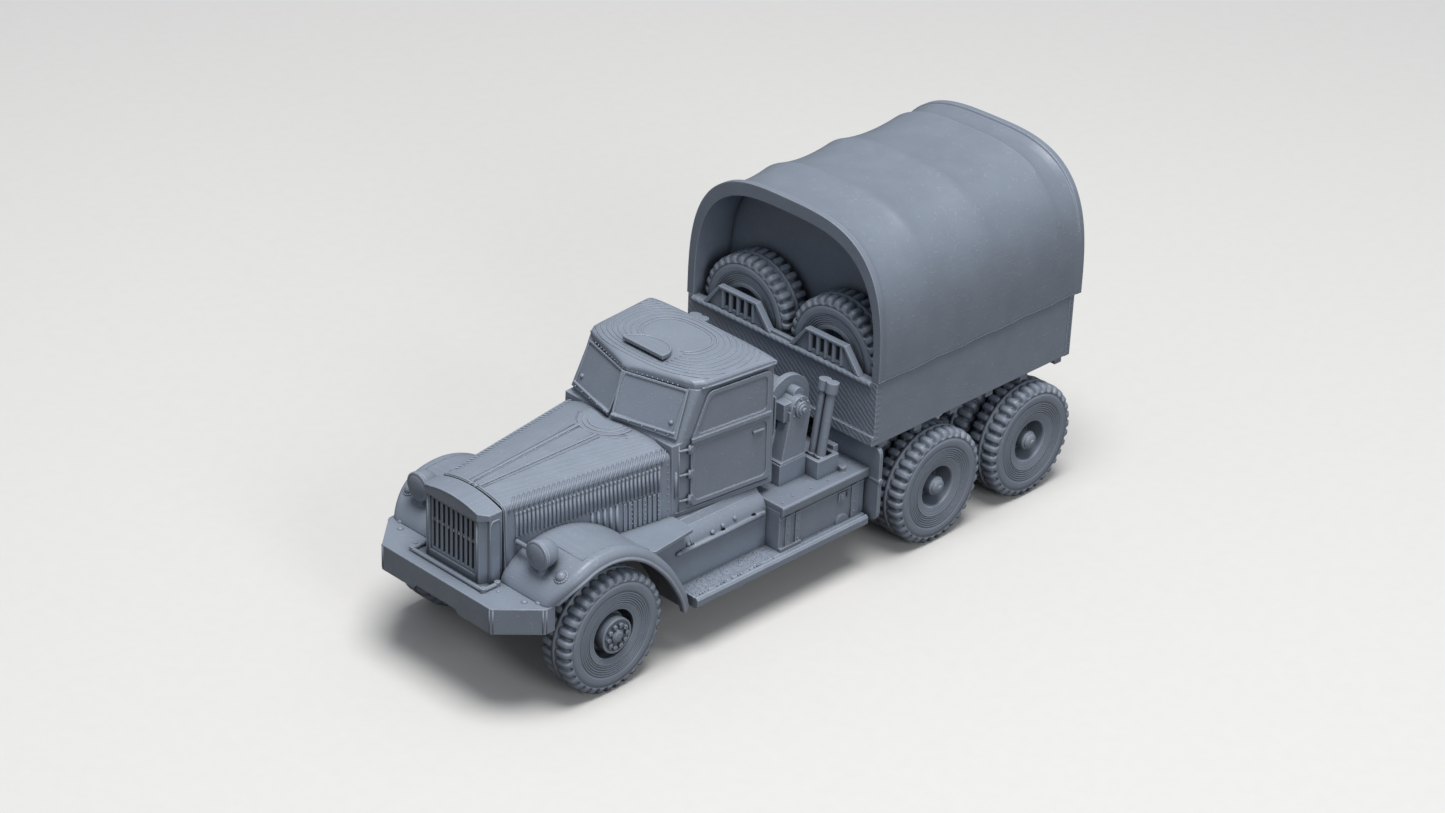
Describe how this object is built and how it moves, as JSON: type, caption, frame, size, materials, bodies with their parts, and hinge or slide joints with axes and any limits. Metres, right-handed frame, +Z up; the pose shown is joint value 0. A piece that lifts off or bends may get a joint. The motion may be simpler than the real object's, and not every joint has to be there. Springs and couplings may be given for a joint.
{
  "type": "printed scale model of a six-wheel cargo truck",
  "caption": "Grey 3-D printed scale model of a long-bonnet cargo truck with twin rear axles, a rigid ridged tilt, spare wheels behind the cab and wheels that turn.",
  "frame": {"origin": "on the ground under the middle of the overall box", "axes": "+X forward, +Y to the truck's left, +Z up"},
  "size_m": [0.1208, 0.045, 0.0582],
  "materials": {
    "body_plastic": "matte, fine print layers",
    "frame_plastic": "matte, fine print layers",
    "tyre_plastic": "matte, fine print layers"
  },
  "bodies": {
    "chassis": {"chassis_frame": "frame_plastic", "front_axle": "frame_plastic", "driveline": "frame_plastic", "rear_axle_one": "frame_plastic", "rear_axle_two": "frame_plastic", "bumper": "body_plastic", "radiator_shell": "body_plastic", "grille": "body_plastic", "bonnet": "body_plastic", "fender_left": "body_plastic", "fender_right": "body_plastic", "headlamp_left": "body_plastic", "headlamp_right": "body_plastic", "cab_shell": "body_plastic", "cab_roof": "body_plastic", "windscreen": "body_plastic", "door_left": "body_plastic", "door_right": "body_plastic", "cab_floor": "frame_plastic", "side_box_left": "body_plastic", "side_box_right": "body_plastic", "running_board_left": "body_plastic", "running_board_right": "body_plastic", "locker_left": "body_plastic", "locker_right": "body_plastic", "deck": "body_plastic", "winch_frame": "body_plastic", "winch_drum": "body_plastic", "jacks_left": "body_plastic", "jacks_right": "body_plastic", "splash_left": "body_plastic", "splash_right": "body_plastic", "bed": "body_plastic", "bed_bearers": "frame_plastic", "load_floor": "body_plastic", "bulkhead": "body_plastic", "canopy": "body_plastic", "spare_tyre_left": "tyre_plastic", "spare_tyre_right": "tyre_plastic", "spare_wheel_left": "body_plastic", "spare_wheel_right": "body_plastic", "spare_brackets": "body_plastic"},
    "front_left": {"front_tyre_left": "tyre_plastic", "front_wheel_left": "body_plastic"},
    "front_right": {"front_tyre_right": "tyre_plastic", "front_wheel_right": "body_plastic"},
    "rear_one_left": {"rear_one_tyres_left": "tyre_plastic", "rear_one_wheel_left": "body_plastic"},
    "rear_one_right": {"rear_one_tyres_right": "tyre_plastic", "rear_one_wheel_right": "body_plastic"},
    "rear_two_left": {"rear_two_tyres_left": "tyre_plastic", "rear_two_wheel_left": "body_plastic"},
    "rear_two_right": {"rear_two_tyres_right": "tyre_plastic", "rear_two_wheel_right": "body_plastic"}
  },
  "joints": [
    {"name": "front_left_spin", "type": "hinge", "parent": "chassis", "child": "front_left", "pos_m": [0.04205, 0.0166, 0.01], "axis": [0, 1, 0], "continuous": true},
    {"name": "front_right_spin", "type": "hinge", "parent": "chassis", "child": "front_right", "pos_m": [0.04205, -0.0166, 0.01], "axis": [0, 1, 0], "continuous": true},
    {"name": "rear_one_left_spin", "type": "hinge", "parent": "chassis", "child": "rear_one_left", "pos_m": [-0.02705, 0.0159, 0.01], "axis": [0, 1, 0], "continuous": true},
    {"name": "rear_one_right_spin", "type": "hinge", "parent": "chassis", "child": "rear_one_right", "pos_m": [-0.02705, -0.0159, 0.01], "axis": [0, 1, 0], "continuous": true},
    {"name": "rear_two_left_spin", "type": "hinge", "parent": "chassis", "child": "rear_two_left", "pos_m": [-0.04975, 0.0159, 0.01], "axis": [0, 1, 0], "continuous": true},
    {"name": "rear_two_right_spin", "type": "hinge", "parent": "chassis", "child": "rear_two_right", "pos_m": [-0.04975, -0.0159, 0.01], "axis": [0, 1, 0], "continuous": true}
  ]
}
